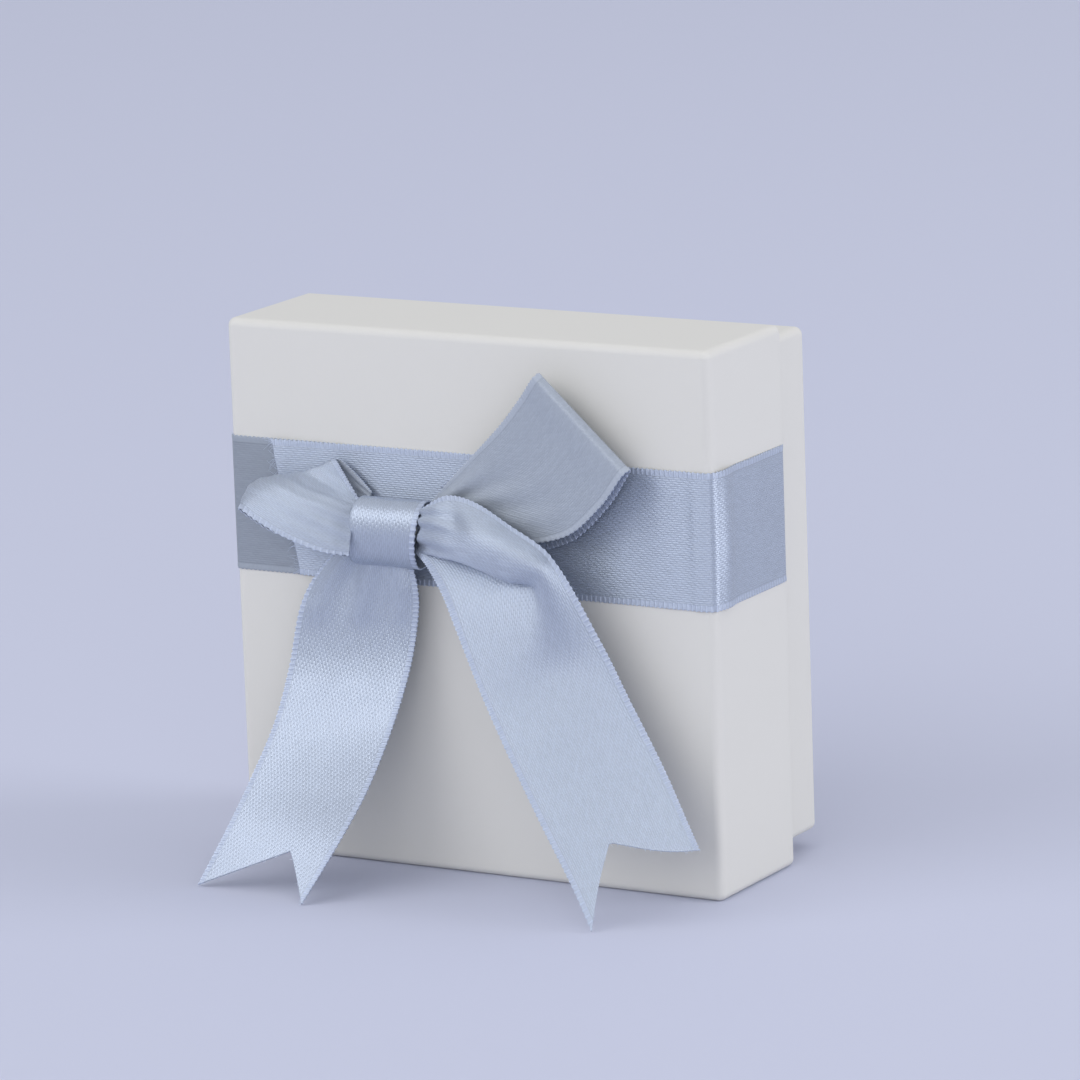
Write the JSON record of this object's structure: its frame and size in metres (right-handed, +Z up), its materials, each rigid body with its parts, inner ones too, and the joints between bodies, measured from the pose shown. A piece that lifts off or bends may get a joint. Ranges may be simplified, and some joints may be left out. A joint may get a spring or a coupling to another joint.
{
  "type": "jewelry gift box",
  "caption": "Square two-piece rigid box for jewellery with a telescoping lid, a satin ribbon band with a tied bow, and a velvet display insert.",
  "frame": {"origin": "middle of the outer face of the lid wall that the box stands on, halfway along the lid's depth", "axes": "+Z up along the lid's square face; -Y out of the lid's face, where the bow is; +Y out of the base's bottom; +X to the viewer's right"},
  "size_m": [0.0826, 0.0589, 0.08],
  "materials": {
    "covering_paper": "matte",
    "greyboard": "matte",
    "lining_paper": "matte",
    "corner_tape": "matte",
    "foam": "matte",
    "velvet": "matte",
    "insert_card": "matte",
    "adhesive": "satin",
    "satin_ribbon": "satin"
  },
  "bodies": {
    "lid": {"lid_board": "greyboard", "lid_wrap": "covering_paper", "lid_liner": "lining_paper", "lid_corner_stay_1": "corner_tape", "lid_corner_stay_2": "corner_tape", "lid_corner_stay_3": "corner_tape", "lid_corner_stay_4": "corner_tape", "lid_foam_pad": "foam", "ribbon_band": "satin_ribbon", "ribbon_band_left_end": "satin_ribbon", "band_tape_left": "adhesive", "band_tape_right": "adhesive", "band_tape_overlap": "adhesive", "bow_knot": "satin_ribbon", "bow_glue_dot": "adhesive", "bow_loop_left": "satin_ribbon", "bow_loop_right": "satin_ribbon", "bow_tail_left": "satin_ribbon", "bow_tail_right": "satin_ribbon"},
    "base": {"base_board": "greyboard", "base_wrap": "covering_paper", "base_liner": "lining_paper", "base_corner_stay_1": "corner_tape", "base_corner_stay_2": "corner_tape", "base_corner_stay_3": "corner_tape", "base_corner_stay_4": "corner_tape"},
    "insert": {"insert_velvet": "velvet", "insert_foam": "foam", "insert_platform": "insert_card"}
  },
  "joints": [
    {"name": "base_slide", "type": "slide", "parent": "lid", "child": "base", "axis": [0, 1, 0], "range_m": [0, 0.06]},
    {"name": "insert_lift", "type": "slide", "parent": "base", "child": "insert", "axis": [0, -1, 0], "range_m": [0, 0.024]}
  ],
  "couplings": [
    {"joint": "insert_lift", "follows": "base_slide", "ratio": 0.4}
  ]
}
